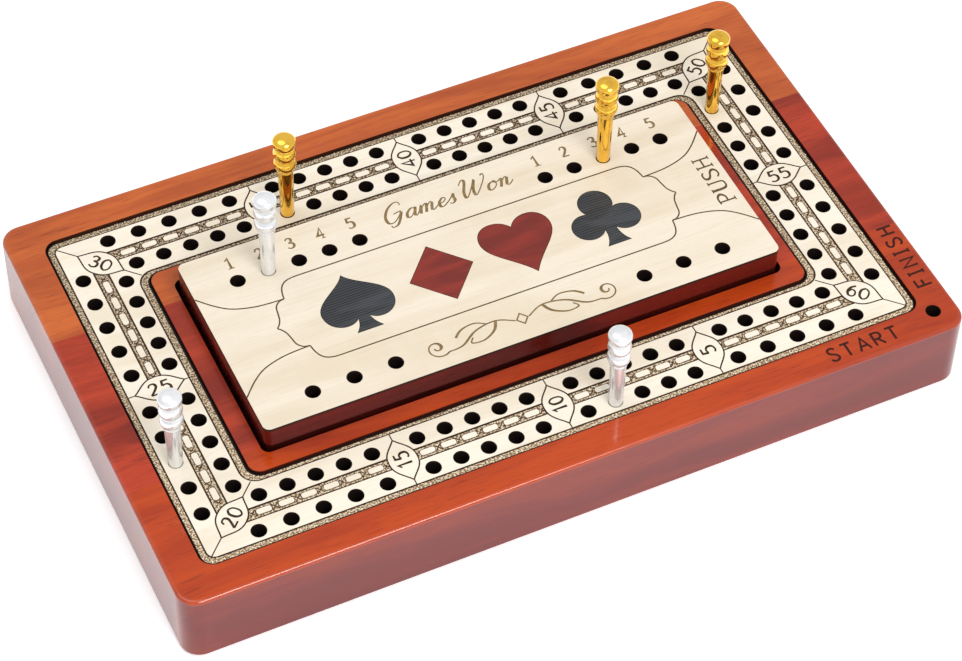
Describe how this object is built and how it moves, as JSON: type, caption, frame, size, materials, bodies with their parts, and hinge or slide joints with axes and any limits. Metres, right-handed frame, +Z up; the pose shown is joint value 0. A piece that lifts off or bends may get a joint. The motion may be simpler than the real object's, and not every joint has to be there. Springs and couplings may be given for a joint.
{
  "type": "cribbage board",
  "caption": "Rectangular wooden cribbage board with an inlaid peg track, a rocking lid over a peg store and turned metal pegs.",
  "frame": {"origin": "centre of the underside of the board", "axes": "+X along the board towards the end of the lid that is pushed, +Y to the back, +Z up"},
  "size_m": [0.1826, 0.1112, 0.0497],
  "materials": {
    "stave_orange": "glossy orange-red lacquered hardwood",
    "stave_red": "glossy red-brown lacquered hardwood",
    "lid_wood": "glossy dark red lacquered hardwood",
    "maple_veneer": "satin maple veneer with burnt engraving",
    "dark_inlay": "satin black-dyed veneer",
    "red_inlay": "satin red-brown veneer",
    "gold_metal": "polished gold-coloured metal",
    "silver_metal": "polished silver-coloured metal"
  },
  "bodies": {
    "board": {"board_stave_front": "stave_orange", "board_stave_centre": "stave_red", "board_stave_back": "stave_orange", "track_veneer": "maple_veneer"},
    "lid": {"lid_block": "lid_wood", "lid_veneer": "maple_veneer", "spade_inlay": "dark_inlay", "diamond_inlay": "red_inlay", "heart_inlay": "red_inlay", "club_inlay": "dark_inlay"},
    "gold_peg_back": {"gold_peg_back": "gold_metal"},
    "gold_peg_lid": {"gold_peg_lid": "gold_metal"},
    "gold_peg_right": {"gold_peg_right": "gold_metal"},
    "silver_peg_lid": {"silver_peg_lid": "silver_metal"},
    "silver_peg_front": {"silver_peg_front": "silver_metal"},
    "silver_peg_left": {"silver_peg_left": "silver_metal"}
  },
  "joints": [
    {"name": "lid_rock", "type": "hinge", "parent": "board", "child": "lid", "pos_m": [0.03, 0, 0.0127], "axis": [0, 1, 0], "range_deg": [0, 5]},
    {"name": "gold_peg_back_lift", "type": "slide", "parent": "board", "child": "gold_peg_back", "axis": [0, 0, 1], "range_m": [0, 0.012]},
    {"name": "gold_peg_lid_lift", "type": "slide", "parent": "lid", "child": "gold_peg_lid", "axis": [0, 0, 1], "range_m": [0, 0.012]},
    {"name": "gold_peg_right_lift", "type": "slide", "parent": "board", "child": "gold_peg_right", "axis": [0, 0, 1], "range_m": [0, 0.012]},
    {"name": "silver_peg_lid_lift", "type": "slide", "parent": "lid", "child": "silver_peg_lid", "axis": [0, 0, 1], "range_m": [0, 0.012]},
    {"name": "silver_peg_front_lift", "type": "slide", "parent": "board", "child": "silver_peg_front", "axis": [0, 0, 1], "range_m": [0, 0.012]},
    {"name": "silver_peg_left_lift", "type": "slide", "parent": "board", "child": "silver_peg_left", "axis": [0, 0, 1], "range_m": [0, 0.012]}
  ]
}
